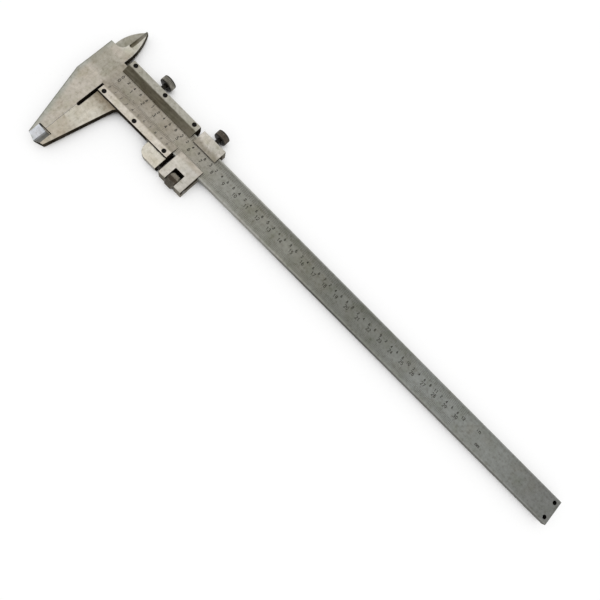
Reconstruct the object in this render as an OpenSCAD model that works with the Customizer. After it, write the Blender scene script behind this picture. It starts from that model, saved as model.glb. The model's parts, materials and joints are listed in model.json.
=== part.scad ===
// Vernier caliper with a fine-adjustment carriage, jaws closed.
// X runs along the beam from the measuring plane of the outside jaws to the free end.
// Y = 0 is the centre line of the beam, with the inside jaws on +Y and the outside jaws on -Y.
// Z = 0 is the plane that the slider lies on, and +Z faces the reader of the scales.

/* [Beam] */
// Distance from the measuring plane to the free end of the beam
beam_reach = 396.7; // [380:0.1:460]
// Width of the beam
beam_w = 19; // [18:0.5:22]
// Thickness of the beam and of the jaws
beam_t = 4; // [3.8:0.1:5]
// Diameter of the two holes at the free end
end_hole_d = 3; // [2:0.1:4]
// Distance between the two end holes, across the beam
end_hole_pitch = 11.7; // [8:0.1:12]
// Distance of the end holes from the free end
end_hole_inset = 3.8; // [3:0.1:7]

/* [Fixed head] */
// How far the head reaches back from the measuring plane
head_len = 17.5; // [16:0.5:22]
// How far the shoulder of the head stands above the beam
head_rise = 4.8; // [3:0.1:6]
// Length of the straight side of the head below the beam, before the jaw tapers
head_drop = 4.3; // [2:0.1:10]
// How far the head laps onto the beam past the measuring plane
lap_reach = 2; // [1:0.1:3]
// Length of the beam's tongue behind the measuring plane, let into the back of the head
tongue_len = 13; // [11:0.5:14]
// Width of the shoulder on each side of the tongue
tongue_shoulder = 1.7; // [1:0.1:3]
// Diameter of the dowels that hold the tongue in the head
dowel_d = 2.5; // [1.5:0.1:3]
// Distance between the dowels, across the beam
dowel_pitch = 9; // [6:0.5:10]
// Length of the dowels, which end below the front face
dowel_len = 3; // [2.4:0.1:3.4]

/* [Outside jaws] */
// Distance from the lower edge of the beam to the points of the outside jaws
jaw_reach = 55; // [45:0.5:65]
// How far the outer corners of the jaw tips lie above the points
tip_rise = 2; // [1:0.1:5]
// Width of the fixed jaw at its tip
fixed_tip_w = 5.1; // [5:0.1:8]
// Width of the movable jaw at its tip
movable_tip_w = 6.4; // [5:0.1:9]
// Width of the movable jaw at its root
movable_root_w = 16.8; // [13:0.1:20]
// Radius in the corner between the movable jaw and the slider
root_fillet = 2; // [1:0.1:4]
// Width of the relief slot between the jaws
relief_w = 2.2; // [1.6:0.1:3]
// How much of the relief slot lies on the fixed jaw's side
relief_inset = 0.5; // [0.2:0.1:0.8]
// Length of the relief slot below the beam
relief_len = 21.2; // [12:0.1:30]
// Length of the bevels that thin the jaw tips
tip_bevel_len = 10.2; // [6:0.1:14]
// Width of the bevel on each jaw tip
tip_bevel_w = 4.6; // [3:0.1:4.8]
// Depth of the bevel at the measuring plane
tip_bevel_depth = 2.8; // [1.5:0.1:3.2]
// Width of the groove where the tip bevels run out
tip_groove_w = 0.9; // [0.5:0.1:1.5]
// Gap between the closed outside jaws
jaw_gap = 0.05; // [0.02:0.01:0.1]

/* [Inside jaws] */
// Distance of the inside jaws' measuring plane behind that of the outside jaws
inside_offset = 8.5; // [8:0.1:11]
// Distance from the upper edge of the beam to the points of the inside jaws
inside_reach = 25.7; // [20:0.1:32]
// Gap between the fixed inside jaw and the slider
head_gap = 1.7; // [1:0.1:3]
// Height above the shoulder at which the fixed inside jaw starts to curve
blade_rise = 1.8; // [1:0.1:4]
// Radius of the fixed inside jaw's curved side
fixed_blade_r = 44; // [30:1:90]
// Width of the fixed inside jaw's blunt point
blade_tip_w = 1; // [0.5:0.1:2]
// Radius in the corner between the fixed inside jaw's measuring edge and the shoulder
blade_fillet = 5; // [3:0.1:5.4]
// Width of the movable inside jaw at the head's shoulder
movable_blade_w = 7.9; // [6.5:0.1:8.4]
// Radius of the movable inside jaw's curved side
movable_blade_r = 30; // [24:1:100]
// Width of the movable inside jaw's blunt point
movable_blade_tip_w = 1.6; // [0.5:0.1:2.4]
// Width of the bevel along the measuring edge of each inside jaw
blade_bevel_w = 2.8; // [1.5:0.1:3]
// Depth of that bevel at the measuring edge
blade_bevel_depth = 0.7; // [0.5:0.1:2.4]
// Height above the shoulder at which that bevel starts
blade_bevel_start = 5.4; // [3:0.1:8]

/* [Slider] */
// Distance from the measuring plane to the far end of the slider
slider_end = 60; // [58:0.1:90]
// Distance from the measuring plane to the near end of the front strips
strip_start = 1.9; // [1.8:0.1:3]
// Width of the slider's rails on each side of the beam
rail_w = 5.5; // [4.4:0.1:7]
// Thickness of the slider's back plate
plate_t = 3; // [2.6:0.1:4]
// How much narrower the back plate gets towards its back, on each side
plate_taper = 1; // [0.4:0.1:1.1]
// Thickness of the front strips
strip_t = 1.6; // [1.4:0.1:2.4]
// How far each strip reaches over the beam
strip_lip = 4.6; // [3:0.1:6]
// Width of the flat part of each strip, outside its bevel
strip_flat = 4.65; // [4:0.05:5]
// Thickness of the bevelled inner edge of each strip
strip_edge_t = 0.3; // [0.2:0.05:1]
// Length of the tab that carries the feed spindle
tab_len = 15; // [12:0.5:24]
// How far the tab stands below the slider
tab_drop = 9.6; // [8.8:0.1:14]
// Radius of the tab's free corner
tab_r = 6; // [3:0.1:8]
// Width that the arm of the movable inside jaw has at the back plate
arm_root_w = 14; // [10:0.5:24]
// Width of that arm at the blade
arm_end_w = 5; // [4:0.5:9]

/* [Strip screws] */
// Distance from the near end of the strips to their first screws
screw_start = 3.1; // [2.5:0.1:4]
// Distance between the strip screws
screw_pitch = 25.5; // [20:0.1:26]
// Distance of the strip screws from the outer edge of the strip
screw_inset = 2; // [1.8:0.05:2.2]
// Diameter of the screw heads
screw_head_d = 2.9; // [2.4:0.1:3]
// Height of the screw heads
screw_head_h = 0.7; // [0.5:0.1:0.8]
// How far the screw heads lie below the front of the strips
screw_sink = 0.4; // [0.2:0.1:0.5]
// Diameter of the screw threads
screw_d = 1.6; // [1.2:0.1:1.8]
// Length of thread in the back plate
screw_grip = 2.2; // [1.5:0.1:2.4]
// Width of the driver slots
driver_w = 0.5; // [0.3:0.05:0.8]
// Depth of the driver slots
driver_depth = 0.35; // [0.2:0.05:0.4]

/* [Clamps and gib springs] */
// Distance from the measuring plane to the slider's clamp screw
clamp_x = 24.6; // [18:0.1:27]
// Diameter of the clamp screws' threads
clamp_d = 3; // [2.4:0.1:3.2]
// Diameter of the knobs
knob_d = 9.4; // [8:0.1:9.9]
// Height of the knobs
knob_h = 4.8; // [3:0.1:7]
// Length of bare neck under each knob
knob_neck = 3.8; // [1.6:0.1:5]
// Chamfer along the knobs' rims
knob_chamfer = 0.5; // [0.3:0.05:1]
// Length of the pads under the clamp screws
pad_len = 1.6; // [1.2:0.1:2.4]
// Travel that a pad has before it presses on its spring
press_gap = 0.15; // [0.14:0.01:0.3]
// Depth of the pockets that hold the gib springs
spring_room = 0.9; // [0.7:0.05:1.2]
// Thickness of the gib springs
spring_t = 0.4; // [0.25:0.05:0.5]
// Length of each gib spring's seat on its rail
spring_seat = 3; // [2:0.1:4]

/* [Fine adjustment] */
// Gap between the slider and the carriage
carriage_gap = 3.1; // [2.9:0.1:6]
// Length of the carriage
carriage_len = 18.8; // [17.6:0.1:26]
// How far the carriage stands below the slider
carriage_drop = 9.8; // [9:0.1:14]
// Width of the flat part of the carriage's lips above the beam's edges
carriage_flat = 6; // [5:0.1:8]
// Thickness of the inner edges of the carriage's lips
carriage_edge_t = 1; // [0.4:0.1:1.3]
// Distance of the feed spindle below the slider
spindle_drop = 6.8; // [6.2:0.1:7.2]
// Diameter of the feed spindle
spindle_d = 2.5; // [2:0.1:3]
// Length of the spindle held in the tab
spindle_grip = 8; // [6:0.5:11]
// Diameter of the pin through the tab and the spindle
pin_d = 1.2; // [0.8:0.1:1.4]
// Length of that pin
pin_len = 3.2; // [2.6:0.1:3.6]
// Diameter of the feed nut
nut_d = 9.5; // [8:0.1:9.9]
// Width of the feed nut
nut_w = 7; // [5:0.1:7.6]
// Chamfer on the feed nut's ends
nut_chamfer = 1.1; // [0.5:0.1:1.5]
// Thickness of the carriage wall between the gap and the nut's notch
nut_wall = 5.5; // [4:0.1:6.5]
// Room between the top of the notch and the feed nut
nut_room = 1.8; // [0.3:0.1:2]

/* [Clearances] */
// Clearance between the beam and the slider on each side
slide_gap = 0.05; // [0.03:0.01:0.08]
// Clearance round threads, pads and other turning fits
turn_gap = 0.05; // [0.03:0.01:0.08]
// Clearance round fixed pins, dowels and the held end of the spindle
seat_gap = 0.02; // [0.01:0.01:0.04]
// Clearance between the spindle and the carriage, and beside the feed nut
feed_gap = 0.25; // [0.15:0.01:0.3]

/* [Hidden] */
$fn = 96;
over = 1;

// Heights of the layers
beam_low = plate_t + slide_gap;
beam_mid = beam_low + beam_t / 2;
beam_top = beam_low + beam_t;
rail_top = plate_t + beam_t + 2 * slide_gap;
strip_top = rail_top + strip_t;

// Places across the beam
beam_edge = beam_w / 2;
channel_edge = beam_edge + slide_gap;
pocket_edge = channel_edge + spring_room;
slider_edge = beam_edge + rail_w;
shoulder = beam_edge + head_rise;
tab_edge = slider_edge + tab_drop;
carriage_edge = slider_edge + carriage_drop;
jaw_point = -beam_edge - jaw_reach;
blade_point = beam_edge + inside_reach;
screw_y = slider_edge - screw_inset;
spindle_y = -slider_edge - spindle_drop;

// Places along the beam
relief_end = relief_w - relief_inset;
tab_start = slider_end - tab_len;
carriage_start = slider_end + carriage_gap;
carriage_end = carriage_start + carriage_len;
notch_start = carriage_start + nut_wall;
notch_end = notch_start + nut_w + 2 * feed_gap;
carriage_clamp_x = carriage_start + carriage_len / 2;
pin_x = slider_end - spindle_grip / 2;

// Radii of fits
screw_hole_r = screw_d / 2 + turn_gap;
clamp_hole_r = clamp_d / 2 + turn_gap;
head_hole_r = screw_head_d / 2 + turn_gap;

// Places along a clamp, from the beam outwards
pad_low = channel_edge + spring_t + press_gap;
clamp_low = pad_low + pad_len + turn_gap;

// Finishes
head_colour = "#b2aa9e";
slider_colour = "#b8b0a4";
beam_colour = "#8c8c87";
dark_colour = "#4a4540";
black_colour = "#24211e";
brass_colour = "#b39a54";
spring_colour = "#9a9a96";

// Centre of the circle of radius r through a and b that bulges to the right of the way from a to b
function arc_centre(a, b, r) =
    let (half = norm(b - a) / 2, along = (b - a) / (2 * half))
    (a + b) / 2 + sqrt(r * r - half * half) * [-along[1], along[0]];

// A flat shape, raised between two heights
module layer(low, high) {
    translate([0, 0, low]) linear_extrude(high - low) children();
}

// A cross-section in Y and Z, drawn along X
module along_x(start, end) {
    translate([start, 0, 0]) rotate([90, 0, 90]) linear_extrude(end - start) children();
}

// A cross-section in X and Z, drawn along Y
module along_y(start, end) {
    translate([0, end, 0]) rotate([90, 0, 0]) linear_extrude(end - start) children();
}

// A rod along X at the height of the beam's middle
module rod_x(start, end, y, r) {
    translate([start, y, beam_mid]) rotate([0, 90, 0]) cylinder(r = r, h = end - start);
}

// A rod along Y at the height of the beam's middle
module rod_y(x, start, end, r) {
    translate([x, start, beam_mid]) rotate([-90, 0, 0]) cylinder(r = r, h = end - start);
}

// A rod along Z
module rod_z(x, y, low, high, r) {
    translate([x, y, low]) cylinder(r = r, h = high - low);
}

// Children at the three screw places of a strip on one side of the beam
module at_strip_screws(side) {
    first = strip_start + screw_start;
    for (step = [0 : 2]) translate([first + step * screw_pitch, side * screw_y, 0]) children();
}

module dowels(low, high, r) {
    for (side = [-1, 1]) rod_z(-tongue_len / 2, side * dowel_pitch / 2, low, high, r);
}

// The slot between the jaws, which keeps dirt out of the corner under the beam
module relief_slot() {
    slot_r = relief_w / 2;
    slot_low = -beam_edge - relief_len + slot_r;
    layer(-over, strip_top + over) {
        translate([-relief_inset, slot_low]) square([relief_w, -channel_edge - slot_low]);
        translate([slot_r - relief_inset, slot_low]) circle(slot_r);
    }
}

// What the bevel of one jaw tip takes away; side is -1 on the fixed jaw and 1 on the movable one
module tip_bevel(side, front) {
    bevel_top = jaw_point + tip_bevel_len;
    along_y(jaw_point - over, bevel_top) polygon([
        [side * tip_bevel_w, front], [-side * over, front - tip_bevel_depth * (1 + over / tip_bevel_w)],
        [-side * over, front + over], [side * tip_bevel_w, front + over]
    ]);
    along_y(bevel_top - tip_groove_w, bevel_top) polygon([
        [side * tip_bevel_w, front - tip_bevel_depth], [-side * over, front - tip_bevel_depth],
        [-side * over, front + over], [side * tip_bevel_w, front + over]
    ]);
}

// What the bevel along an inside jaw's measuring edge takes away, on a face at z = 0 that looks up
module blade_bevel(side) {
    run_out = blade_bevel_w / 2;
    bevel_low = shoulder + blade_bevel_start + run_out;
    edge = -inside_offset;
    intersection() {
        layer(-blade_bevel_depth - over, over) {
            translate([edge - blade_bevel_w, bevel_low]) square([2 * blade_bevel_w, inside_reach]);
            translate([edge + side * run_out, bevel_low]) circle(run_out);
        }
        along_y(shoulder, blade_point + over) polygon([
            [edge + side * blade_bevel_w, 0], [edge + side * blade_bevel_w, 2 * over],
            [edge - side * blade_bevel_w, 2 * over], [edge - side * blade_bevel_w, -2 * blade_bevel_depth]
        ]);
    }
}

module fixed_blade_outline() {
    root = [-head_gap, shoulder + blade_rise];
    tip = [blade_tip_w - inside_offset, blade_point];
    intersection() {
        translate(arc_centre(root, tip, fixed_blade_r)) circle(fixed_blade_r, $fn = 180);
        translate([-inside_offset, root[1]]) square([inside_offset, blade_point - root[1]]);
    }
    translate([-inside_offset, beam_edge - over])
        square([inside_offset - head_gap, root[1] - beam_edge + over]);
    difference() {
        translate([-inside_offset - blade_fillet, shoulder - over]) square(blade_fillet + over);
        translate([-inside_offset - blade_fillet, shoulder + blade_fillet]) circle(blade_fillet);
    }
}

module movable_blade_outline() {
    root = [-inside_offset - movable_blade_w, shoulder];
    tip = [-inside_offset - movable_blade_tip_w, blade_point];
    outer = -inside_offset - 2 * movable_blade_w;
    intersection() {
        translate(arc_centre(tip, root, movable_blade_r)) circle(movable_blade_r, $fn = 180);
        polygon([
            [outer, blade_point], [-inside_offset, blade_point], [-inside_offset, slider_edge],
            [over, slider_edge], [over, slider_edge - arm_root_w], [outer, slider_edge - arm_end_w]
        ]);
    }
}

// The tab that carries the spindle, drawn in by inset but not at the slider's end; high is its inner side
module tab_outline(inset, high) {
    start = tab_start + inset;
    low = inset - tab_edge;
    corner_r = tab_r - inset;
    translate([start + corner_r, low]) square([slider_end - start - corner_r, high - low]);
    translate([start, low + corner_r]) square([slider_end - start, high - low - corner_r]);
    translate([start + corner_r, low + corner_r]) circle(corner_r);
}

module beam() {
    color(beam_colour) difference() {
        union() {
            translate([lap_reach, -beam_edge, beam_low]) cube([beam_reach - lap_reach, beam_w, beam_t]);
            translate([-tongue_len, tongue_shoulder - beam_edge, beam_low])
                cube([tongue_len + lap_reach + over, beam_w - 2 * tongue_shoulder, beam_t / 2]);
        }
        for (side = [-1, 1])
            rod_z(beam_reach - end_hole_inset, side * end_hole_pitch / 2, 0, strip_top, end_hole_d / 2);
        dowels(0, beam_low + dowel_len, dowel_d / 2 + seat_gap);
    }
}

module fixed_jaw() {
    color(head_colour) difference() {
        layer(beam_low, beam_top) {
            polygon([
                [-head_len, shoulder], [-head_len, -beam_edge - head_drop],
                [-fixed_tip_w, jaw_point + tip_rise], [0, jaw_point], [0, -beam_edge],
                [lap_reach, -beam_edge], [lap_reach, beam_edge], [-head_gap, beam_edge], [-head_gap, shoulder]
            ]);
            fixed_blade_outline();
        }
        translate([-tongue_len, tongue_shoulder - beam_edge, 0])
            cube([tongue_len + lap_reach + over, beam_w - 2 * tongue_shoulder, beam_mid]);
        dowels(0, beam_low + dowel_len, dowel_d / 2 + seat_gap);
        relief_slot();
        tip_bevel(-1, beam_top);
        translate([0, 0, beam_top]) blade_bevel(1);
    }
}

module head_dowels() {
    color(spring_colour) dowels(beam_low, beam_low + dowel_len, dowel_d / 2);
}

// Back plate of the slider, with the movable inside jaw on its corner
module inside_jaw_plate() {
    color(slider_colour) difference() {
        union() {
            along_x(0, slider_end) polygon([
                [-slider_edge, plate_t], [plate_taper - slider_edge, 0], [slider_edge - plate_taper, 0],
                [slider_edge, plate_t]
            ]);
            layer(0, plate_t) {
                movable_blade_outline();
                tab_outline(plate_taper, plate_taper + over - slider_edge);
            }
        }
        for (side = [-1, 1])
            at_strip_screws(side) rod_z(0, 0, plate_t - screw_grip, strip_top, screw_hole_r);
        mirror([0, 0, 1]) blade_bevel(-1);
    }
}

module upper_rail() {
    color(slider_colour) difference() {
        translate([relief_end, channel_edge, plate_t])
            cube([slider_end - relief_end, slider_edge - channel_edge, rail_top - plate_t]);
        spring_pocket(relief_end, slider_end);
        rod_y(clamp_x, channel_edge, slider_edge + over, clamp_hole_r);
        at_strip_screws(1) rod_z(0, 0, 0, strip_top, screw_hole_r);
    }
}

// Lower rail of the slider, with the movable outside jaw and the spindle's tab
module movable_outside_jaw() {
    rail_h = slider_edge - channel_edge;
    color(slider_colour) difference() {
        layer(plate_t, rail_top) {
            translate([relief_end, -slider_edge]) square([slider_end - relief_end, rail_h]);
            polygon([
                [jaw_gap, -channel_edge - over], [jaw_gap, jaw_point],
                [movable_tip_w, jaw_point + tip_rise],
                [movable_root_w, -slider_edge], [movable_root_w, -channel_edge - over]
            ]);
            difference() {
                translate([movable_root_w - over, -slider_edge - root_fillet])
                    square([root_fillet + over, root_fillet]);
                translate([movable_root_w + root_fillet, -slider_edge - root_fillet]) circle(root_fillet);
            }
            tab_outline(0, -slider_edge);
        }
        relief_slot();
        tip_bevel(1, rail_top);
        at_strip_screws(-1) rod_z(0, 0, 0, strip_top, screw_hole_r);
        rod_x(slider_end - spindle_grip, slider_end + over, spindle_y, spindle_d / 2 + seat_gap);
        rod_z(pin_x, spindle_y, 0, plate_t + pin_len, pin_d / 2 + seat_gap);
    }
}

// One front strip; side is 1 above the beam and -1 below it
module strip(side) {
    flat_edge = slider_edge - strip_flat;
    lip_edge = beam_edge - strip_lip;
    color(slider_colour) difference() {
        along_x(strip_start, slider_end) polygon([
            [side * slider_edge, rail_top], [side * slider_edge, strip_top], [side * flat_edge, strip_top],
            [side * lip_edge, rail_top + strip_edge_t], [side * lip_edge, rail_top]
        ]);
        at_strip_screws(side) {
            rod_z(0, 0, 0, strip_top, screw_hole_r);
            rod_z(0, 0, strip_top - screw_sink - screw_head_h, strip_top + over, head_hole_r);
        }
    }
}

module upper_strip() {
    strip(1);
}

module vernier_strip() {
    strip(-1);
}

module strip_screw() {
    head_top = strip_top - screw_sink;
    color(black_colour) difference() {
        union() {
            rod_z(0, 0, plate_t - screw_grip, head_top, screw_d / 2);
            rod_z(0, 0, head_top - screw_head_h, head_top, screw_head_d / 2);
        }
        translate([-screw_head_d, -driver_w / 2, head_top - driver_depth])
            cube([2 * screw_head_d, driver_w, driver_depth + over]);
    }
}

module upper_strip_screws() {
    at_strip_screws(1) strip_screw();
}

module vernier_strip_screws() {
    at_strip_screws(-1) strip_screw();
}

// Pocket for a gib spring between two ends of a rail, which stops the spring from sliding out
module spring_pocket(start, end) {
    translate([start + spring_seat / 2, beam_edge, plate_t])
        cube([end - start - spring_seat, pocket_edge - beam_edge, rail_top - plate_t]);
}

// Leaf spring that lies on the beam in the middle and against the rail at its ends
module gib_spring(start, end) {
    first = start + spring_seat / 2 + turn_gap;
    last = end - spring_seat / 2 - turn_gap;
    bend = (last - first - 2 * spring_seat) / 4;
    path = [
        [first, pocket_edge - spring_t], [first + spring_seat, pocket_edge - spring_t],
        [first + spring_seat + bend, channel_edge], [last - spring_seat - bend, channel_edge],
        [last - spring_seat, pocket_edge - spring_t], [last, pocket_edge - spring_t]
    ];
    rise = [for (place = path) place + [0, spring_t]];
    color(spring_colour) layer(plate_t + slide_gap, rail_top - slide_gap)
        polygon([for (place = path) place, for (i = [len(rise) - 1 : -1 : 0]) rise[i]]);
}

module slider_gib_spring() {
    gib_spring(relief_end, slider_end);
}

module feed_spindle() {
    color(spring_colour) difference() {
        rod_x(slider_end - spindle_grip, carriage_end, spindle_y, spindle_d / 2);
        rod_z(pin_x, spindle_y, 0, plate_t + pin_len, pin_d / 2 + seat_gap);
    }
}

module spindle_pin() {
    color(spring_colour) rod_z(pin_x, spindle_y, plate_t, plate_t + pin_len, pin_d / 2);
}

module clamp_pad(x) {
    color(brass_colour) rod_y(x, pad_low, pad_low + pad_len, clamp_d / 2);
}

// Knurled clamp screw, turned about an axis along Y
module clamp_screw(x) {
    knob_low = slider_edge + knob_neck;
    knob_high = knob_low + knob_h;
    rim_r = knob_d / 2 - knob_chamfer;
    color(dark_colour) translate([x, 0, beam_mid]) rotate([-90, 0, 0]) rotate_extrude() polygon([
        [0, clamp_low], [clamp_d / 2, clamp_low], [clamp_d / 2, knob_low], [rim_r, knob_low],
        [knob_d / 2, knob_low + knob_chamfer], [knob_d / 2, knob_high - knob_chamfer], [rim_r, knob_high],
        [0, knob_high]
    ]);
}

module slider_clamp_pad() {
    clamp_pad(clamp_x);
}

module slider_clamp_screw() {
    clamp_screw(clamp_x);
}

// Fine-adjustment block, which rides on the beam and carries the feed nut in a notch
module carriage_body() {
    lip_edge = beam_edge - strip_lip;
    lip_flat = slider_edge - carriage_flat;
    edge_top = rail_top + carriage_edge_t;
    notch_top = spindle_y + nut_d / 2 + nut_room;
    color(slider_colour) difference() {
        along_x(carriage_start, carriage_end) polygon([
            [-carriage_edge, 0], [slider_edge, 0], [slider_edge, strip_top], [lip_flat, strip_top],
            [lip_edge, edge_top], [lip_edge, rail_top], [channel_edge, rail_top], [channel_edge, plate_t],
            [-channel_edge, plate_t], [-channel_edge, rail_top], [-lip_edge, rail_top],
            [-lip_edge, edge_top], [-lip_flat, strip_top], [-carriage_edge, strip_top]
        ]);
        spring_pocket(carriage_start, carriage_end);
        rod_y(carriage_clamp_x, channel_edge, slider_edge + over, clamp_hole_r);
        translate([notch_start, -carriage_edge - over, -over])
            cube([notch_end - notch_start, carriage_edge + over + notch_top, strip_top + 2 * over]);
        rod_x(carriage_start - over, carriage_end + over, spindle_y, spindle_d / 2 + feed_gap);
    }
}

module carriage_gib_spring() {
    gib_spring(carriage_start, carriage_end);
}

module carriage_clamp_pad() {
    clamp_pad(carriage_clamp_x);
}

module carriage_clamp_screw() {
    clamp_screw(carriage_clamp_x);
}

// Knurled feed nut on the spindle
module feed_nut() {
    bore_r = spindle_d / 2 + turn_gap;
    rim_r = nut_d / 2 - nut_chamfer;
    color(dark_colour) translate([notch_start + feed_gap, spindle_y, beam_mid]) rotate([0, 90, 0])
        rotate_extrude() polygon([
            [bore_r, 0], [rim_r, 0], [nut_d / 2, nut_chamfer], [nut_d / 2, nut_w - nut_chamfer],
            [rim_r, nut_w], [bore_r, nut_w]
        ]);
}

beam();
fixed_jaw();
head_dowels();
inside_jaw_plate();
upper_rail();
movable_outside_jaw();
upper_strip();
vernier_strip();
upper_strip_screws();
vernier_strip_screws();
slider_gib_spring();
feed_spindle();
spindle_pin();
slider_clamp_pad();
slider_clamp_screw();
carriage_body();
carriage_gib_spring();
carriage_clamp_pad();
carriage_clamp_screw();
feed_nut();
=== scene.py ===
"""Visual model of the vernier caliper, built round its CAD frame.

X runs along the beam from the outside jaws' measuring plane, +Y points to the inside jaws and +Z out of
the scales. Lengths in this script are millimetres unless a comment says metres, and they become metres
where a mesh or a node is made.
"""

import json
import math

import bpy
from mathutils import Matrix, Vector


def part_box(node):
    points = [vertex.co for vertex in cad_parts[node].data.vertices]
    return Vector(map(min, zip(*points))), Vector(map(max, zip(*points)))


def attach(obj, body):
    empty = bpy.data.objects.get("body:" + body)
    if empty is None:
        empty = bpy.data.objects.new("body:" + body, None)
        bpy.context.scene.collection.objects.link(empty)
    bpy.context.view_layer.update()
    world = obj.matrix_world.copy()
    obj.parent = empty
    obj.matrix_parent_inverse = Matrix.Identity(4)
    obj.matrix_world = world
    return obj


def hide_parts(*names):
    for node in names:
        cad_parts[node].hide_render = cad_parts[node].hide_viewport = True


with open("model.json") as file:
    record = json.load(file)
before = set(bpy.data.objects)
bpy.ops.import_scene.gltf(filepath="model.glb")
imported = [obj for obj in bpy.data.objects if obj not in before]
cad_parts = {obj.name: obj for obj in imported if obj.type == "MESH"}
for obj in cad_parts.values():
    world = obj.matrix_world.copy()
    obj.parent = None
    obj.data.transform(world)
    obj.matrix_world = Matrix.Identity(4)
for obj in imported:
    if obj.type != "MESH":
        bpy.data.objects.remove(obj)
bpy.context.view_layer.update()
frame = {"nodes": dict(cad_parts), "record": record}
nodes = frame["nodes"]

MM = 0.001


def box(name):
    """The lowest and highest corners of a CAD node, in millimetres."""
    low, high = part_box(name)
    return low / MM, high / MM


# Places and sizes in millimetres

vernier_low, vernier_high = box("vernier_strip")
carriage_low, carriage_high = box("carriage_body")
head_low, head_high = box("fixed_jaw")
nut_low, nut_high = box("feed_nut")
mounts = {mount["name"]: mount for mount in frame["record"]["mounts"]}

# Place of the beam's upper edge, which its lower edge mirrors, and height of its front face
beam_edge = box("beam")[1].y
beam_face = box("beam")[1].z
# Far end of the slider along the beam, and outer edge of its upper strip
slider_end = box("upper_strip")[1].x
upper_edge = box("upper_strip")[1].y
# Width of the flat outer part of each front strip, and thickness of the bevelled inner edge
strip_flat = 4.65
strip_edge_t = 0.3
# Place along the beam where the tab that holds the spindle starts
tab_len = 15
tab_start = slider_end - tab_len
# Place of the feed spindle across the beam
spindle_y = (nut_low.y + nut_high.y) / 2
# Place across the beam where the back of the fixed jaw starts to taper, and its slope from there
taper_start = -13.8
taper_slope = 0.255
# Place of the head's shoulder across the beam, where the inside jaws start
shoulder = 14.3
# Points of the outside and the inside jaws
outside_point = head_low.y
inside_point = head_high.y
# Place of the fixed inside jaw's measuring edge along the beam, and width of the bevel beside it
blade_edge = mounts["inside_measuring_face"]["pos_m"][0] / MM
blade_bevel_w = 2.8
# Height of the clamp screws' knobs, and their two ends across the beam
knob_h = 4.8
knob_high = box("slider_clamp_screw")[1].y
knob_low = knob_high - knob_h
# Place of the holes at the free end along the beam, and their radius
end_hole_x = mounts["end_holes"]["pos_m"][0] / MM
end_hole_r = mounts["end_holes"]["dims"]["hole_r_mm"]


def rgb(red, green, blue):
    """A colour given in display values from 0 to 255, as linear light."""
    shares = [v / 255 for v in (red, green, blue)]
    linear = [v / 12.92 if v <= 0.04045 else ((v + 0.055) / 1.055) ** 2.4 for v in shares]
    return (*linear, 1.0)


class Nodes:
    """Shorthand to build a node tree."""

    def __init__(self, tree):
        self.tree = tree

    def feed(self, socket, value):
        """Links a socket to another one, or gives it a constant."""
        if isinstance(value, bpy.types.NodeSocket):
            self.tree.links.new(value, socket)
        else:
            socket.default_value = value

    def add(self, kind, inputs=(), **settings):
        """A new node with its settings and inputs."""
        node = self.tree.nodes.new(kind)
        for key, value in settings.items():
            setattr(node, key, value)
        for key, value in dict(inputs).items():
            self.feed(node.inputs[key], value)
        return node

    def math(self, operation, a, b=0.0):
        """One step of arithmetic."""
        return self.add("ShaderNodeMath", {0: a, 1: b}, operation=operation).outputs[0]

    def all_of(self, mask, *others):
        """Where all the masks hold: their product."""
        for other in others:
            mask = self.math("MULTIPLY", mask, other)
        return mask

    def any_of(self, mask, *others):
        """Where at least one of the masks holds: the largest of them."""
        for other in others:
            mask = self.math("MAXIMUM", mask, other)
        return mask


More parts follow.
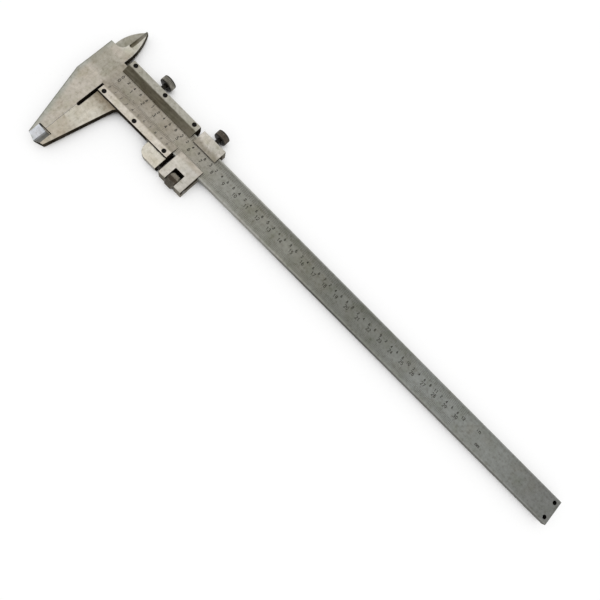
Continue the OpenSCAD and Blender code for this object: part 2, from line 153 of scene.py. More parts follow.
class Look(Nodes):
    """A procedural material."""

    def __init__(self, name):
        self.material = bpy.data.materials.new(name)
        self.material.use_nodes = True
        super().__init__(self.material.node_tree)
        self.shader = self.tree.nodes["Principled BSDF"]
        self.place = self.add("ShaderNodeTexCoord").outputs["Object"]
        self.places = self.add("ShaderNodeSeparateXYZ", {0: self.place}).outputs
        facing = self.add("ShaderNodeNewGeometry").outputs["Normal"]
        self.normals = self.add("ShaderNodeSeparateXYZ", {0: facing}).outputs

    def noise(self, size, stretch=(1, 1, 1), detail=3.0, shift=(0, 0, 0)):
        """Noise whose features are about size across, drawn out by stretch along each axis."""
        scale = [1 / (size * MM * s) for s in stretch]
        spot = self.add("ShaderNodeMapping", {"Vector": self.place, "Scale": scale, "Location": shift})
        inputs = {"Vector": spot.outputs[0], "Scale": 1.0, "Detail": detail}
        return self.add("ShaderNodeTexNoise", inputs).outputs[0]

    def span(self, value, low, high, start=0.0, end=1.0):
        """Turns the values from low to high into start to end, softly, and holds them there outside."""
        limits = {"Value": value, "From Min": low, "From Max": high, "To Min": start, "To Max": end}
        return self.add("ShaderNodeMapRange", limits, interpolation_type="SMOOTHSTEP").outputs[0]

    def along(self, axis, low, high, start=0.0, end=1.0, wobble=0.0):
        """Goes from start to end between two places along an axis; a wobble makes the border uneven."""
        value = self.places[axis]
        if wobble:
            shake = self.span(self.noise(2.4, detail=4.0), 0.3, 0.7, -wobble * MM, wobble * MM)
            value = self.math("ADD", value, shake)
        return self.span(value, low * MM, high * MM, start, end)

    def facing(self, axis, low, high):
        """Goes from 0 to 1 as the face turns along an axis."""
        return self.span(self.normals[axis], low, high)

    def flank(self):
        """1 on upright sides and 0 on the flat front and back."""
        return self.span(self.math("ABSOLUTE", self.normals[Z]), 0.88, 0.55)

    def mix(self, factor, a, b, blend="MIX"):
        """Colour a where the factor is 0 and colour b where it is 1."""
        node = self.add("ShaderNodeMix", {0: factor, 6: a, 7: b}, data_type="RGBA", blend_type=blend)
        return node.outputs[2]

    def stain(self, factor, colour, tint):
        """Tints a colour by so many times its own red, green and blue."""
        return self.mix(factor, colour, (*tint, 1.0), "MULTIPLY")

    def dots(self, size, radius, shift=(0, 0, 0)):
        """Scattered round specks of different strengths, on a grid of cells of that size."""
        spot = self.add("ShaderNodeMapping", {"Vector": self.place, "Location": shift})
        cells = self.add("ShaderNodeTexVoronoi", {"Vector": spot.outputs[0], "Scale": 1 / (size * MM)})
        strength = self.add("ShaderNodeSeparateColor", {0: cells.outputs["Color"]}).outputs[0]
        speck = self.span(cells.outputs["Distance"], radius, 0.3 * radius)
        return self.all_of(speck, self.span(strength, 0.55, 0.95))

    def bump(self, height, depth):
        """Makes the surface uneven, to that depth."""
        settings = {"Height": height, "Strength": 1.0, "Distance": depth * MM}
        self.feed(self.shader.inputs["Normal"], self.add("ShaderNodeBump", settings).outputs[0])

    def finish(self, colour, metallic, roughness):
        """Gives the shader its colour, metallic share and roughness."""
        self.feed(self.shader.inputs["Base Color"], colour)
        self.feed(self.shader.inputs["Metallic"], metallic)
        self.feed(self.shader.inputs["Roughness"], roughness)
        return self.material


# Looks

X, Y, Z = 0, 1, 2
# Tints of the stains, as shares of the red, green and blue below them
BROWN = (0.88, 0.85, 0.80)
GREEN = (0.89, 0.91, 0.85)
PALE = (1.10, 1.10, 1.10)
SHADE = (0.81, 0.80, 0.77)
GREY = (0.84, 0.84, 0.84)
DIM = (0.92, 0.92, 0.92)
SPECK = (0.52, 0.48, 0.42)
# Painted shade on the upright sides, as a share of the colour below it
SIDE_SHADE = (0.62, 0.61, 0.59)
# Strength of the stains and of the specks of dirt
stain_strength = 0.7
speck_strength = 0.75
# Painted shade on the walls of the end holes
BORE_SHADE = rgb(14, 12, 9)


def black_side(look):
    """Painted shade on the sides of a piece, near black and the same all over."""
    return rgb(31, 27, 21)


def steel(name, base, paint=None, side=black_side, patch=9.0, grain=(40, 1, 1)):
    """Old satin steel with stains, specks of dirt and fine grain; its upright sides carry painted shade,
    near black towards +X and -Y.

    The stains are patches of about that size, and the grain is drawn out so many times along each axis.
    """
    look = Look(name)
    colour = paint(look, base) if paint else base
    blotch = look.noise(patch, detail=5.0)
    colour = look.stain(look.span(blotch, 0.45, 0.72, 0.0, stain_strength), colour, BROWN)
    cloud = look.noise(0.7 * patch, detail=4.0, shift=(4.1, 2.7, 1.3))
    colour = look.stain(look.span(cloud, 0.46, 0.7, 0.0, stain_strength), colour, GREEN)
    colour = look.stain(look.span(cloud, 0.46, 0.3, 0.0, stain_strength), colour, PALE)
    mottle = look.noise(2.2, detail=5.0, shift=(1.7, 5.2, 3.9))
    colour = look.stain(look.span(mottle, 0.5, 0.7), colour, SHADE)
    colour = look.stain(look.span(mottle, 0.5, 0.3), colour, PALE)
    fine = look.noise(0.9, detail=4.0)
    colour = look.stain(look.span(fine, 0.45, 0.75, 0.0, 0.7), colour, GREY)
    lines = look.noise(0.3, stretch=grain, detail=2.0)
    colour = look.stain(look.span(lines, 0.4, 0.75, 0.0, 0.6), colour, GREY)
    dirt = look.any_of(look.dots(3.3, 0.17), look.dots(5.3, 0.11, shift=(0.9, 0.4, 0.2)))
    colour = look.stain(look.all_of(dirt, speck_strength), colour, SPECK)
    # Painted shade: the upright sides are darker, and near black with lighter patches where they face +X
    # or -Y
    flank = look.flank()
    side_shade_colour = look.mix(look.span(blotch, 0.4, 0.75, 0.0, 0.35), side(look), rgb(84, 76, 66))
    shaded_sides = look.all_of(flank, look.any_of(look.facing(X, 0.1, 0.6), look.facing(Y, -0.1, -0.6)))
    colour = look.stain(flank, colour, SIDE_SHADE)
    colour = look.mix(shaded_sides, colour, side_shade_colour)
    look.bump(look.math("ADD", lines, look.span(fine, 0.3, 0.7, 0.0, 0.6)), 0.012)
    look.shader.inputs["Specular IOR Level"].default_value = 0.0
    metallic = look.span(shaded_sides, 0.0, 1.0, 0.72, 0.0)
    return look.finish(colour, metallic, look.span(cloud, 0.3, 0.7, 0.36, 0.5))


def paint_head(look, base):
    """The fixed head: a duller middle, a paler blade, painted shading of a rounded back edge, painted
    shade on the bevel along the blade and a painted highlight on the ground bevel at the jaw's point.
    """
    colour = look.mix(look.along(Y, shoulder - 1.3, shoulder + 3.7), base, rgb(199, 196, 185))
    # A grey band along the back edge, darker at the very edge: painted shading of a rounded edge
    from_taper = look.math("MINIMUM", look.math("SUBTRACT", look.places[Y], taper_start * MM), 0.0)
    from_back = look.math("SUBTRACT", look.places[X], head_low.x * MM)
    from_back = look.math("ADD", from_back, look.math("MULTIPLY", from_taper, taper_slope))
    colour = look.mix(look.span(from_back, 4.5 * MM, 0.5 * MM, 0.0, 0.8), colour, rgb(160, 162, 154))
    colour = look.mix(look.span(from_back, 0.7 * MM, 0.3 * MM, 0.0, 0.6), colour, rgb(104, 106, 100))
    middle = look.all_of(look.along(Y, 0.5 - beam_edge, -2), look.along(Y, beam_edge + 2.5, 6), 0.7)
    colour = look.mix(middle, colour, rgb(154, 150, 137))
    over_beam = look.along(Y, -beam_edge - 1.5, 0.5 - beam_edge)
    lap = look.all_of(look.along(X, head_high.x - 7, head_high.x, wobble=1.0), over_beam)
    colour = look.mix(lap, colour, rgb(160, 153, 141))
    # Painted shade on the bevel beside the inside jaw's measuring edge, lighter towards the blade's point
    from_edge = look.along(X, blade_edge, blade_edge + blade_bevel_w)
    hollow = look.mix(from_edge, rgb(70, 66, 50), rgb(116, 111, 96))
    hollow = look.mix(look.along(Y, inside_point - 12.2, inside_point - 2.2), hollow, rgb(128, 123, 113))
    colour = look.mix(look.facing(X, -0.12, -0.2), colour, hollow)
    blade_end = look.along(Y, inside_point - 4.7, inside_point - 0.7, 0.0, 0.8)
    colour = look.mix(blade_end, colour, rgb(100, 99, 90))
    # Painted bluish-white highlight on the faces turned towards +X at the jaw's point
    return look.mix(look.facing(X, 0.3, 0.45), colour, rgb(213, 216, 223))


def head_side(look):
    """The side of the fixed head: painted shade, paler along its blade."""
    return look.mix(look.along(Y, shoulder + 3.7, shoulder + 8.7), black_side(look), rgb(68, 64, 55))


def on_tab(look):
    """The tab that holds the spindle, on the movable jaw."""
    return look.along(X, tab_start - 3, tab_start + 1)


def paint_jaw(look, base):
    """The movable jaw: painted brown shade with some dirt under the strip, a painted shadow line along
    the strip's edge, a duller point and painted shade on its ground tip, pale at the measuring edge.
    """
    strip_edge = vernier_low.y
    colour = look.mix(on_tab(look), base, rgb(210, 205, 193))
    towards_point = look.along(Y, outside_point + 28.5, outside_point + 18.5)
    colour = look.mix(towards_point, colour, rgb(185, 177, 163))
    # Painted brown shade, partly dirt, under the strip
    under_strip = look.along(Y, strip_edge - 12, strip_edge, 0.0, 0.9, wobble=1.0)
    root = look.all_of(under_strip, look.along(X, 30, 18))
    colour = look.mix(root, colour, rgb(130, 118, 99))
    # Painted shadow line along the strip's edge
    strip_shadow = look.along(Y, strip_edge - 0.8, strip_edge - 0.2, wobble=0.15)
    colour = look.mix(strip_shadow, colour, rgb(44, 39, 30))
    # Painted light and shade on the bevel of the jaw's point, pale at the measuring edge
    tip = look.mix(look.along(X, -0.5, 2.2), rgb(176, 177, 178), rgb(117, 116, 112))
    return look.mix(look.facing(X, -0.3, -0.45), colour, tip)


def jaw_side(look):
    """The sides of the movable jaw: painted shade, pale round the outside of the tab that holds the
    spindle.
    """
    outside = look.all_of(on_tab(look), look.facing(X, 0.5, 0.2))
    return look.mix(outside, black_side(look), rgb(158, 155, 149))


def paint_vernier(look, base):
    """The vernier strip: only its flat outer part is pale, and its bevel is painted darker, as shade."""
    crease = vernier_low.y + strip_flat
    return look.mix(look.along(Y, crease - 0.7, crease + 0.5, wobble=0.1), base, rgb(156, 149, 137))


def paint_upper(look, base):
    """The upper strip: painted shade on its bevel, with streaks along it."""
    crease = upper_edge - strip_flat
    # Painted shade on the bevel, lighter towards the slider's far end
    streak = look.noise(1.6, stretch=(9, 1, 1), detail=4.0)
    dark = look.mix(look.span(streak, 0.4, 0.7), rgb(82, 77, 65), rgb(98, 94, 81))
    dark = look.mix(look.along(X, slider_end - 26, slider_end), dark, rgb(104, 99, 87))
    return look.mix(look.along(Y, crease + 0.6, crease - 0.4, wobble=0.1), base, dark)


def end_bores(look):
    """The part of the beam round its end holes, without its outer sides."""
    reach = end_hole_r + 0.5
    inset = beam_edge - 0.5
    return look.all_of(
        look.along(X, end_hole_x - reach, end_hole_x - reach + 0.3),
        look.along(X, end_hole_x + reach, end_hole_x + reach - 0.3),
        look.along(Y, -inset, 0.5 - inset),
        look.along(Y, inset, inset - 0.5),
    )


# Painted light and shade along the beam, as tones along its length: where each starts to show and where
# it is full
BEAM_TONES = [
    (55, 100, rgb(140, 140, 133)),
    (95, 150, rgb(129, 129, 121)),
    (150, 200, rgb(117, 118, 112)),
    (220, 270, rgb(131, 133, 129)),
    (330, 390, rgb(119, 120, 117)),
]
# Painted light and shade along the beam's lower side, likewise
BEAM_SIDE_TONES = [
    (110, 190, rgb(84, 84, 79)),
    (215, 260, rgb(108, 108, 104)),
]


def tones_along(look, colour, tones):
    """A colour that goes through the tones along the beam."""
    for start, full, tone in tones:
        colour = look.mix(look.along(X, start, full), colour, tone)
    return colour


def paint_beam(look, base):
    """The beam: painted light and shade along it, warm under the slider's window and cooler and darker
    towards its end, a darker band along the upper scale, painted highlights along its rims and painted
    shade in its end holes.
    """
    colour = tones_along(look, base, BEAM_TONES)
    # Darker along the upper scale, most towards the head
    upper_scale = look.along(Y, beam_edge - 5.5, beam_edge - 4.0)
    upper_scale_darker = look.all_of(upper_scale, look.along(X, 250, 170, 0.3, 1.0))
    colour = look.stain(upper_scale_darker, colour, GREY)
    colour = look.stain(look.along(Y, beam_edge - 3.0, beam_edge - 1.8), colour, DIM)
    # Painted highlights along the upper and lower rims
    upper_rim = look.along(Y, beam_edge - 1.5, beam_edge - 0.2)
    wear_and_highlight = look.all_of(upper_rim, look.along(X, 150, 110, 0.4, 0.8))
    colour = look.mix(wear_and_highlight, colour, rgb(178, 178, 172))
    lower_rim = look.along(Y, 1.6 - beam_edge, 0.6 - beam_edge)
    wear_and_highlight = look.all_of(lower_rim, look.along(X, 190, 130, 0.2, 0.65))
    colour = look.mix(wear_and_highlight, colour, rgb(172, 172, 166))
    # Painted shade in the end holes
    return look.mix(look.all_of(look.flank(), end_bores(look)), colour, BORE_SHADE)


def beam_side(look):
    """The lower side of the beam: painted light and shade along it, bright next to the carriage, and
    painted shade in the end holes.
    """
    colour = tones_along(look, rgb(146, 145, 139), BEAM_SIDE_TONES)
    # Painted shade in the end holes
    return look.mix(end_bores(look), colour, BORE_SHADE)


def paint_carriage(look, base):
    """The carriage: painted shade on the slopes of its lips, darker on the upper one."""
    far_end = look.along(X, carriage_low.x + 4.9, carriage_high.x - 4.9)
    flat = look.mix(far_end, base, rgb(187, 183, 175))
    upper_slope = look.along(Y, beam_edge + 1.0, beam_edge - 2.5, wobble=0.6)
    upper = look.mix(upper_slope, flat, rgb(148, 142, 130))
    lower = look.mix(look.along(Y, -beam_edge, 2.0 - beam_edge), flat, rgb(180, 173, 162))
    return look.mix(look.along(Y, 2.0, -2.0), upper, lower)


def carriage_side(look):
    """The sides of the carriage: a painted shadow band on parts of the end face, and painted shade round
    the nut.
    """
    # Painted shadow band on the end face, under the front and along the beam's edge
    end = look.all_of(look.along(Y, beam_edge + 3.0, beam_edge + 1.8), look.facing(X, 0.5, 0.8))
    under_front = look.along(Z, carriage_high.z - 4.7, carriage_high.z - 3.7)
    band = look.any_of(under_front, look.along(Y, beam_edge - 0.5, beam_edge))
    colour = look.mix(look.all_of(band, end), rgb(120, 116, 107), rgb(42, 38, 31))
    # Painted shade in the recess round the nut
    above_rim = look.along(Y, spindle_y - 3.5, spindle_y - 2.0)
    inner = look.all_of(above_rim, look.along(X, carriage_high.x - 3.9, carriage_high.x - 4.9))
    return look.mix(inner, colour, rgb(24, 21, 16))


def paint_nut(look, colour):
    """The feed nut: a painted highlight on its crest towards the beam, with a painted brown band of shade
    beside it.
    """
    # Painted brown band of shade
    stripe = look.along(Y, spindle_y - 1.6, spindle_y - 0.8, wobble=0.3)
    colour = look.mix(stripe, colour, rgb(72, 63, 52))
    # Painted highlight on the crest
    bright = look.along(Y, spindle_y + 0.7, spindle_y + 1.3, wobble=0.3)
    return look.mix(bright, colour, rgb(134, 128, 116))


def paint_knob(look, colour):
    """The clamp screws: the knob has painted shade on its rims, and painted shade makes its underside and
    the neck almost black.
    """
    # Painted shade on both rims
    low_rim = look.along(Y, knob_low + 1.0, knob_low + 0.4)
    high_rim = look.along(Y, knob_high - 1.3, knob_high - 0.5)
    colour = look.mix(look.any_of(low_rim, high_rim), colour, rgb(44, 40, 33))
    # Painted shade on the neck and the underside
    neck = look.along(Y, knob_low + 0.05, knob_low - 0.05)
    return look.mix(look.any_of(neck, look.facing(Y, -0.3, -0.7)), colour, rgb(30, 26, 20))


def dark_steel(name, base, wear_and_highlight, paint=None):
    """Dark turned steel, with lighter wear, a greasy grain and painted shade with some dirt in its
    hollows.
    """
    look = Look(name)
    cloud = look.noise(2.2, detail=4.0)
    grain = look.noise(0.5, detail=3.0)
    colour = look.mix(look.span(cloud, 0.42, 0.7), base, wear_and_highlight)
    if paint:
        colour = paint(look, colour)
    colour = look.mix(look.span(grain, 0.4, 0.75, 0.0, 0.4), colour, rgb(30, 26, 22))
    # Painted shade, with some dirt, in the hollows
    hollows = look.add("ShaderNodeAmbientOcclusion", {"Distance": 0.6 * MM}, only_local=True)
    colour = look.mix(look.span(hollows.outputs["AO"], 0.8, 0.35), colour, rgb(22, 18, 14))
    look.bump(grain, 0.01)
    return look.finish(colour, 0.7, look.span(cloud, 0.3, 0.7, 0.3, 0.46))


def black_oxide(name):
    """Blackened screws that show as dark round holes."""
    look = Look(name)
    cloud = look.noise(0.8, detail=3.0)
    colour = look.mix(look.span(cloud, 0.4, 0.7), rgb(12, 10, 8), rgb(26, 23, 20))
    look.shader.inputs["Specular IOR Level"].default_value = 0.15
    return look.finish(colour, 0.0, look.span(cloud, 0.3, 0.7, 0.6, 0.8))


def mark_fill(name, base):
    """Dark fill of the engraved scale lines, with a little wear."""
    look = Look(name)
    wear_and_highlight = look.noise(1.1, detail=3.0)
    colour = look.mix(look.span(wear_and_highlight, 0.5, 0.75, 0.0, 0.6), base, rgb(92, 87, 78))
    look.shader.inputs["Specular IOR Level"].default_value = 0.25
    return look.finish(colour, 0.0, look.span(wear_and_highlight, 0.3, 0.7, 0.55, 0.75))


def brass(name):
    """Turned brass, a little dull."""
    look = Look(name)
    grain = look.noise(0.6, detail=3.0)
    colour = look.mix(look.span(grain, 0.35, 0.7), rgb(196, 164, 92), rgb(150, 118, 60))
    return look.finish(colour, 0.9, look.span(grain, 0.3, 0.7, 0.28, 0.42))


LOOKS = {
    "head": steel("head_steel", rgb(187, 180, 169), paint_head, head_side, grain=(1, 40, 1)),
    "jaw": steel("jaw_steel", rgb(200, 195, 183), paint_jaw, jaw_side, grain=(1, 40, 1)),
    # The plate's steel is painted darker than the jaws', as the shade on the movable inside jaw behind
    # the head
    "plate": steel("plate_steel", rgb(164, 161, 150)),
    "upper_strip": steel("upper_strip_steel", rgb(168, 165, 155), paint_upper),
    "vernier_strip": steel("vernier_strip_steel", rgb(205, 198, 187), paint_vernier),
    "beam": steel("beam_steel", rgb(158, 152, 141), paint_beam, beam_side, patch=14.0),
    "carriage": steel("carriage_steel", rgb(199, 194, 185), paint_carriage, carriage_side),
    "slider_knob": dark_steel("slider_knob_steel", rgb(110, 107, 98), rgb(146, 142, 132), paint_knob),
    "carriage_knob": dark_steel("carriage_knob_steel", rgb(78, 71, 62), rgb(106, 98, 87), paint_knob),
    "nut": dark_steel("nut_steel", rgb(77, 72, 63), rgb(104, 98, 88), paint_nut),
    "screw": black_oxide("screw_steel"),
    "pin": dark_steel("pin_steel", rgb(120, 118, 112), rgb(150, 148, 142)),
    "spindle": dark_steel("spindle_steel", rgb(46, 42, 37), rgb(70, 66, 59)),
    "spring": dark_steel("spring_steel", rgb(128, 128, 124), rgb(156, 156, 152)),
    "brass": brass("pad_brass"),
    "mark": mark_fill("scale_fill", rgb(42, 39, 34)),
}

NODE_LOOKS = {
    "beam": "beam",
    "fixed_jaw": "head",
    "head_dowels": "pin",
    "inside_jaw_plate": "plate",
    "upper_rail": "plate",
    "movable_outside_jaw": "jaw",
    "upper_strip": "upper_strip",
    "vernier_strip": "vernier_strip",
    "upper_strip_screws": "screw",
    "vernier_strip_screws": "screw",
    "slider_gib_spring": "spring",
    "feed_spindle": "spindle",
    "spindle_pin": "pin",
    "slider_clamp_pad": "brass",
    "slider_clamp_screw": "slider_knob",
    "carriage_body": "carriage",
    "carriage_gib_spring": "spring",
    "carriage_clamp_pad": "brass",
    "carriage_clamp_screw": "carriage_knob",
    "feed_nut": "nut",
}

# Broken edges

# Least angles in degrees between the faces of a crease, and of a sharp border that gets a bevel
crease_angle = 6
sharp_angle = 25
# Distances within which points join, and within which a border counts as part of the seam
join_distance = 0.002
seam_width = 0.05
# Widths of the broken edges on the machined pieces
EDGES = {
    "beam": 0.35,
    "fixed_jaw": 0.15,
    "upper_rail": 0.12,
    "movable_outside_jaw": 0.15,
    "upper_strip": 0.12,
    "vernier_strip": 0.12,
    "carriage_body": 0.3,
}


def edge_finder(name, seam, shortest):
    """Nodes that join the CAD mesh at its face borders, keep creases and give sharp borders a weight.

    Borders across the beam at the seam, where the head meets the beam, get no bevel, and neither do tight
    curves, whose edges are shorter than the shortest.
    """
    group = bpy.data.node_groups.new(name, "GeometryNodeTree")
    for way in ("INPUT", "OUTPUT"):
        group.interface.new_socket("Geometry", in_out=way, socket_type="NodeSocketGeometry")
    build = Nodes(group)

    def store(mesh, attribute, value):
        inputs = {"Geometry": mesh, "Name": attribute, "Value": value}
        node = build.add("GeometryNodeStoreNamedAttribute", inputs, data_type="FLOAT", domain="EDGE")
        return node.outputs[0]

    sides = build.add("GeometryNodeInputMeshEdgeNeighbors").outputs[0]
    mesh = store(build.add("NodeGroupInput").outputs[0], "border", build.math("LESS_THAN", sides, 1.5))
    joined = {"Geometry": mesh, "Distance": join_distance * MM}
    mesh = build.add("GeometryNodeMergeByDistance", joined).outputs[0]
    stored = build.add("GeometryNodeInputNamedAttribute", {"Name": "border"}, data_type="FLOAT")
    border = stored.outputs[0]
    angle = build.add("GeometryNodeInputMeshEdgeAngle").outputs[0]
    position = build.add("GeometryNodeInputPosition").outputs[0]
    place = build.add("ShaderNodeSeparateXYZ", {0: position}).outputs[X]
    from_seam = build.math("ABSOLUTE", build.math("SUBTRACT", place, seam * MM))
    ends = build.add("GeometryNodeInputMeshEdgeVertices").outputs
    ends = {0: ends["Position 1"], 1: ends["Position 2"]}
    length = build.add("ShaderNodeVectorMath", ends, operation="DISTANCE").outputs["Value"]
    weight = build.all_of(
        border,
        build.math("GREATER_THAN", angle, math.radians(sharp_angle)),
        build.math("GREATER_THAN", from_seam, seam_width * MM),
        build.math("GREATER_THAN", length, shortest * MM),
    )
    creased = build.all_of(border, build.math("GREATER_THAN", angle, math.radians(crease_angle)))
    creased = build.math("SUBTRACT", creased, weight)
    normals = {"Mesh": mesh, "Remove Custom": True, "Edge Sharpness": creased, "Face Sharpness": False}
    mesh = build.add("GeometryNodeSetMeshNormal", normals, mode="SHARPNESS").outputs[0]
    mesh = store(mesh, "bevel_weight_edge", weight)
    build.add("NodeGroupOutput", {0: mesh})
    return group


every_edge = edge_finder("every_edge", head_high.x, 0.02)
long_edges = edge_finder("long_edges", head_high.x, 0.8)
# Pieces with small holes or tight curves, which only get bevels on their long edges
LONG_EDGES_ONLY = ("fixed_jaw", "beam")


def break_edges(piece, width, finder):
    """Rounds a CAD node's sharp edges."""
    piece.modifiers.new("find_edges", "NODES").node_group = finder
    joined = piece.modifiers.new("joined_faces", "DECIMATE")
    joined.decimate_type = "DISSOLVE"
    joined.angle_limit = math.radians(0.05)
    bevel = piece.modifiers.new("broken_edges", "BEVEL")
    bevel.width = width * MM
    bevel.segments = 3
    bevel.limit_method = "WEIGHT"
    bevel.use_clamp_overlap = False
    shading = piece.modifiers.new("flat_faces", "WEIGHTED_NORMAL")
    shading.keep_sharp = True


for name, look in NODE_LOOKS.items():
    piece = nodes[name]
    piece.data.materials.clear()
    piece.data.materials.append(LOOKS[look])
    if name in EDGES:
        break_edges(piece, EDGES[name], long_edges if name in LONG_EDGES_ONLY else every_edge)


def add_piece(name, points, faces, look, body):
    """A new mesh with flat faces that rides on a CAD body; its points are in millimetres."""
    mesh = bpy.data.meshes.new(name)
    mesh.from_pydata([Vector(p) * MM for p in points], [], faces)
    mesh.materials.append(LOOKS[look])
    mesh.update()
    piece = bpy.data.objects.new(name, mesh)
    bpy.context.scene.collection.objects.link(piece)
    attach(piece, body)
    return piece


# Scale lines and numbers


def arc(cx, cy, rx, ry, start, end, steps=9):
    """Points along a part of an ellipse between two angles in degrees."""
    turns = [math.radians(start + (end - start) * i / steps) for i in range(steps + 1)]
    return [(cx + rx * math.cos(t), cy + ry * math.sin(t)) for t in turns]


def ring(cx, cy, rx, ry, steps=14):
    """Points round a whole ellipse, from its top."""
    return arc(cx, cy, rx, ry, 90, 450, steps)


# Single-line signs in a box 0.6 wide and 1 high
SIGNS = {
    "0": [ring(0.3, 0.5, 0.27, 0.5)],
    "1": [[(0.12, 0.76), (0.36, 1.0), (0.36, 0.0)]],
    "2": [arc(0.3, 0.72, 0.26, 0.28, 165, -35) + [(0.04, 0.0), (0.58, 0.0)]],
    "3": [arc(0.27, 0.76, 0.24, 0.24, 150, -80) + arc(0.27, 0.27, 0.29, 0.27, 80, -150)],
    "4": [[(0.42, 0.0), (0.42, 1.0)], [(0.42, 1.0), (0.02, 0.3), (0.6, 0.3)]],
    "5": [[(0.52, 1.0), (0.12, 1.0), (0.08, 0.58)] + arc(0.28, 0.31, 0.29, 0.31, 125, -150)],
    "6": [arc(0.62, 0.3, 0.58, 0.75, 110, 180, 6), ring(0.3, 0.3, 0.26, 0.3)],
    "7": [[(0.03, 1.0), (0.57, 1.0), (0.2, 0.0)]],
    "8": [ring(0.3, 0.77, 0.21, 0.23), ring(0.3, 0.27, 0.27, 0.27)],
    "9": [arc(-0.02, 0.7, 0.58, 0.75, -70, 0, 6), ring(0.3, 0.7, 0.26, 0.3)],
    "m": [
        [(0.0, 0.0), (0.0, 0.62)],
        arc(0.15, 0.42, 0.15, 0.2, 180, 0, 6) + [(0.3, 0.0)],
        arc(0.45, 0.42, 0.15, 0.2, 180, 0, 6) + [(0.6, 0.0)],
    ],
    "i": [[(0.3, 0.0), (0.3, 0.62)], [(0.3, 0.82), (0.3, 0.94)]],
    "n": [[(0.06, 0.0), (0.06, 0.62)], arc(0.3, 0.36, 0.24, 0.26, 180, 0, 7) + [(0.54, 0.0)]],
}


class Engraving:
    """Gathers thin strokes on a flat face, as one mesh of closed slabs that stand barely proud of it.

    The strokes of one sign lie a step apart in height, so that no two faces share a plane.
    """

    lift = 0.015
    step = 0.004
    depth = 0.05

    def __init__(self, place):
        self.place = place
        self.points = []
        self.faces = []

    def stroke(self, path, width, level=0):
        """One stroke along a path of (u, v) points, so many steps below the top."""
        heights = (self.lift - level * self.step, -self.depth - level * self.step)
        path = [Vector(p) for p in path]
        closed = (path[0] - path[-1]).length < 1e-6
        if closed:
            path.pop()
        count = len(path)
        first = len(self.points)
        for i, point in enumerate(path):
            before = path[i - 1] if i or closed else None
            after = path[(i + 1) % count] if i + 1 < count or closed else None
            ways = [(b - a).normalized() for a, b in ((before, point), (point, after)) if a and b]
            along = sum(ways, Vector((0, 0))).normalized()
            reach = width / 2 / max(along.dot(ways[0]), 0.5)
            across = Vector((-along.y, along.x)) * reach
            for side in (across, -across):
                for height in heights:
                    self.points.append(self.place(*(point + side), height))
        for i in range(count if closed else count - 1):
            a = first + 4 * i
            b = first + 4 * ((i + 1) % count)
            self.faces += [(a, a + 2, b + 2, b), (a + 1, b + 1, b + 3, a + 3)]
            self.faces += [(a, b, b + 1, a + 1), (a + 2, a + 3, b + 3, b + 2)]
        if not closed:
            last = first + 4 * (count - 1)
            self.faces += [(first, first + 1, first + 3, first + 2), (last, last + 2, last + 3, last + 1)]

    def sign(self, text, u, v, height, width):
        """A number or a unit mark centred on (u, v)."""
        pitch = 0.82 * height
        for i, letter in enumerate(text):
            left = u + (i - (len(text) - 1) / 2) * pitch - 0.3 * height
            for level, path in enumerate(SIGNS[letter]):
                drawn = [(left + x * height, v + (y - 0.5) * height) for x, y in path]
                self.stroke(drawn, width, level)


def tick_end(tick, long_every, middle_every, ends):
    """The free end of a tick: the ends are those of the long, the middle and the short ticks."""
    if tick % long_every == 0:
        return ends[0]
    return ends[1] if tick % middle_every == 0 else ends[2]


# Place of the scales' zero along the beam, and widths of their lines and of the figures' strokes
scale_zero = 4.9
tick_w = 0.11
figure_w = 0.4
vernier_figure_w = 0.24
# Feet and free ends of the ticks across the beam, and the centre lines and heights of the figures
mm_foot = -7.2
mm_ends = (-2.6, -3.3, -3.9)
mm_figures = -0.6
mm_figure_h = 2.2
inch_foot = 8.0
inch_ends = (3.3, 3.7, 4.1)
inch_figures = 2.4
inch_figure_h = 2.0
tenth_figure_h = 1.6
# The same on the vernier, counted from the inner edge of its strip
vernier_foot = -0.12
vernier_ends = (-2.6, -2.2, -1.6)
vernier_figures = -3.7
vernier_figure_h = 1.5
# An inch, and one division of the vernier: 49 mm in 50 parts
inch = 25.4
vernier_step = 49 / 50
# Places and height of the unit marks
mm_mark = (328, -3.6)
inch_mark = (323, 4.0)
mark_h = 2.4

beam_scales = Engraving(lambda u, v, h: (u, v, beam_face + h))
for tick in range(301):
    u = scale_zero + tick
    beam_scales.stroke([(u, mm_foot), (u, tick_end(tick, 10, 5, mm_ends))], tick_w)
for number in range(31):
    beam_scales.sign(str(number), scale_zero + 10 * number, mm_figures, mm_figure_h, figure_w)
for tick in range(241):
    u = scale_zero + tick * inch / 20
    beam_scales.stroke([(u, tick_end(tick, 20, 4, inch_ends)), (u, inch_foot)], tick_w)
for fifth in range(61):
    whole = fifth % 5 == 0
    text = str(fifth // 5) if whole else str(fifth % 5 * 2)
    height = inch_figure_h if whole else tenth_figure_h
    beam_scales.sign(text, scale_zero + fifth * inch / 5, inch_figures, height, figure_w)
beam_scales.sign("mm", *mm_mark, mark_h, figure_w)
beam_scales.sign("in", *inch_mark, mark_h, figure_w)
add_piece("beam_scales", beam_scales.points, beam_scales.faces, "mark", "beam")

lip_height = vernier_low.z + strip_edge_t
vernier_crease = vernier_low.y + strip_flat
slope = Vector((vernier_crease - vernier_high.y, vernier_high.z - lip_height)).normalized()


def on_vernier(u, v, h):
    """A point on the vernier strip's bevel: v is negative below its inner edge, and h is above it."""
    return (u, vernier_high.y - v * slope.x + h * slope.y, lip_height - v * slope.y - h * slope.x)


vernier = Engraving(on_vernier)
for tick in range(51):
    u = scale_zero + vernier_step * tick
    vernier.stroke([(u, tick_end(tick, 10, 5, vernier_ends)), (u, vernier_foot)], tick_w)
for number in range(11):
    u = scale_zero + 5 * vernier_step * number
    vernier.sign(str(number % 10), u, vernier_figures, vernier_figure_h, vernier_figure_w)
add_piece("vernier_scale", vernier.points, vernier.faces, "mark", "slider")

# Knurled clamp screws and feed nut

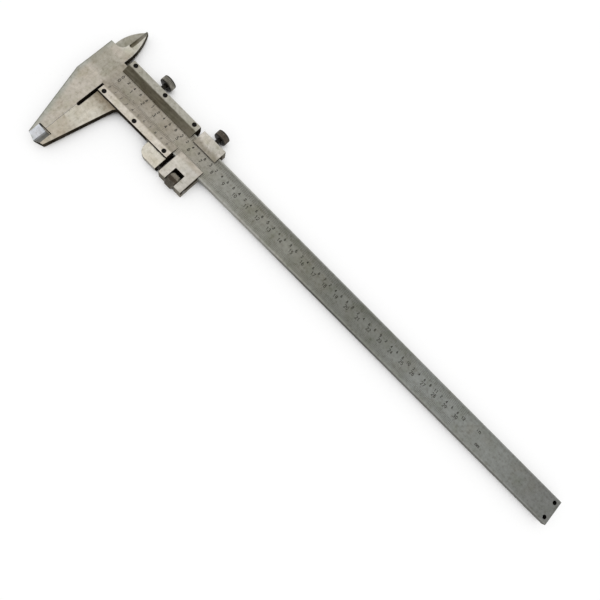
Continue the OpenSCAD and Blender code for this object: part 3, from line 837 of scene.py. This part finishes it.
# Depth of a knurl at each step round one tooth, as a share of the whole depth
KNURL = (0.0, 0.35, 1.0, 0.35)
knob_teeth = 34
nut_teeth = 28
# The knurled rims lie this far inside those of the CAD nodes
rim_inset = 0.02
# Radii of the clamp screws' shanks and of the nut's bore
shank_r = 1.5
bore_r = 1.3


def turned(profile, teeth, closed):
    """A round piece about the Z axis from (radius, height, knurl depth) rings, with straight knurls."""
    steps = teeth * len(KNURL)
    points, faces = [], []
    for radius, height, knurl in profile:
        for i in range(steps):
            r = radius - knurl * KNURL[i % len(KNURL)]
            turn = 2 * math.pi * i / steps
            points.append((r * math.cos(turn), r * math.sin(turn), height))
    rows = len(profile)
    for row in range(rows if closed else rows - 1):
        a, b = row * steps, (row + 1) % rows * steps
        for i in range(steps):
            j = (i + 1) % steps
            faces.append((a + i, a + j, b + j, b + i))
    if not closed:
        faces.append(tuple(reversed(range(steps))))
        faces.append(tuple(range((rows - 1) * steps, rows * steps)))
    return points, faces


def placed(points, place, degrees, axis):
    """Points of a piece about the Z axis, turned about another axis and moved to their place."""
    move = Matrix.Translation(place) @ Matrix.Rotation(math.radians(degrees), 4, axis)
    return [move @ Vector(p) for p in points]


def add_knob(name):
    """A knurled clamp screw along Y in place of its CAD node."""
    low, high = box(name)
    centre = (low + high) / 2
    end = high.y - low.y
    rim = (high.x - low.x) / 2 - rim_inset
    side = end - knob_h
    profile = [
        (shank_r - 0.3, 0.0, 0), (shank_r, 0.3, 0), (shank_r, side - 0.15, 0),
        (shank_r + 0.15, side, 0), (rim - 0.6, side, 0),
        (rim - 0.18, side + 0.12, 0.06), (rim, side + 0.5, 0.3), (rim, end - 0.5, 0.3),
        (rim - 0.18, end - 0.14, 0.06), (rim - 0.6, end - 0.02, 0), (rim - 1.3, end, 0),
        (rim - 1.7, end - 0.12, 0), (0.8, end - 0.14, 0),
    ]
    points, faces = turned(profile, knob_teeth, False)
    points = placed(points, (centre.x, low.y, centre.z), -90, "X")
    piece = add_piece(name + "_knurled", points, faces, NODE_LOOKS[name], name)
    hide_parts(name)


def add_nut():
    """The knurled feed nut along X in place of its CAD node; its two halves mirror each other."""
    centre = (nut_low + nut_high) / 2
    width = nut_high.x - nut_low.x
    rim = (nut_high.y - nut_low.y) / 2 - rim_inset
    half = [
        (bore_r, 0.1, 0), (bore_r + 0.2, 0.0, 0), (rim - 1.4, 0.0, 0), (rim - 1.0, 0.15, 0),
        (rim - 0.3, 0.85, 0.1), (rim, 1.25, 0.34),
    ]
    profile = half + [(r, width - h, k) for r, h, k in reversed(half)]
    points, faces = turned(profile, nut_teeth, True)
    points = placed(points, (nut_low.x, centre.y, centre.z), 90, "Y")
    nut = add_piece("feed_nut_knurled", points, faces, "nut", "feed_nut")
    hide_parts("feed_nut")


add_knob("slider_clamp_screw")
add_knob("carriage_clamp_screw")
add_nut()

# Floor, light and camera

# Half the floor's width in metres, and its depth below the plane that the slider's back lies on
floor_reach = 8.0
floor_depth = 0.1
# Camera as fitted to the photograph: its place in metres, its turn in degrees, its lens and its sensor
camera_place = (0.16482, -0.10281, 0.34766)
camera_turn = (8.163, -11.560, 43.799)
camera_lens = 33.6
camera_sensor = 36
# The light's place in metres and the point that it shines at
light_place = Vector((0.2, 0.3, 1.3))
light_target = Vector((0.2, 0, 0))


def white_paper():
    """White paper that glows a little where it is open, with painted shade in narrow gaps under the
    caliper.
    """
    look = Look("floor_paper")
    grain = look.noise(2.5, detail=2.0)
    colour = look.mix(look.span(grain, 0.3, 0.7), rgb(255, 255, 255), rgb(254, 254, 254))
    # Painted shadow on the paper in narrow gaps under the caliper
    clear = look.add("ShaderNodeAmbientOcclusion", {"Distance": 12 * MM}).outputs["AO"]
    colour = look.mix(look.span(clear, 0.4, 0.1), colour, rgb(40, 38, 34))
    look.shader.inputs["Specular IOR Level"].default_value = 0.0
    rays = look.add("ShaderNodeLightPath").outputs
    seen = look.any_of(rays["Is Glossy Ray"], rays["Is Transmission Ray"], rays["Is Camera Ray"])
    glow = look.all_of(seen, look.span(clear, 0.2, 0.8, 0.0, 0.5))
    white = look.add("ShaderNodeEmission", {"Color": (1, 1, 1, 1), "Strength": 1.0}).outputs[0]
    paper = look.add("ShaderNodeMixShader", {0: glow, 1: look.shader.outputs[0], 2: white})
    look.feed(look.tree.nodes["Material Output"].inputs["Surface"], paper.outputs[0])
    return look.finish(colour, 0.0, 0.9)


scene = bpy.context.scene
floor_mesh = bpy.data.meshes.new("floor")
corners = [(-1, -1), (1, -1), (1, 1), (-1, 1)]
floor_points = [(x * floor_reach, y * floor_reach, -floor_depth * MM) for x, y in corners]
floor_mesh.from_pydata(floor_points, [], [(0, 1, 2, 3)])
floor_mesh.materials.append(white_paper())
floor = bpy.data.objects.new("floor", floor_mesh)
scene.collection.objects.link(floor)

world = bpy.data.worlds.new("studio")
world.use_nodes = True
scene.world = world
background = world.node_tree.nodes["Background"]
background.inputs["Color"].default_value = (1, 1, 1, 1)
background.inputs["Strength"].default_value = 1.0

light_data = bpy.data.lights.new("key_light", "AREA")
light_data.size = 1.4
light_data.energy = 1.2
light_data.color = (1.0, 0.99, 0.97)
light = bpy.data.objects.new("key_light", light_data)
light.location = light_place
light.rotation_euler = (light_target - light_place).to_track_quat("-Z", "Y").to_euler()
scene.collection.objects.link(light)

camera_data = bpy.data.cameras.new("camera")
camera_data.sensor_width = camera_sensor
camera_data.lens = camera_lens
camera = bpy.data.objects.new("camera", camera_data)
camera.location = camera_place
camera.rotation_euler = [math.radians(a) for a in camera_turn]
scene.collection.objects.link(camera)
scene.camera = camera
scene.view_settings.view_transform = "Standard"
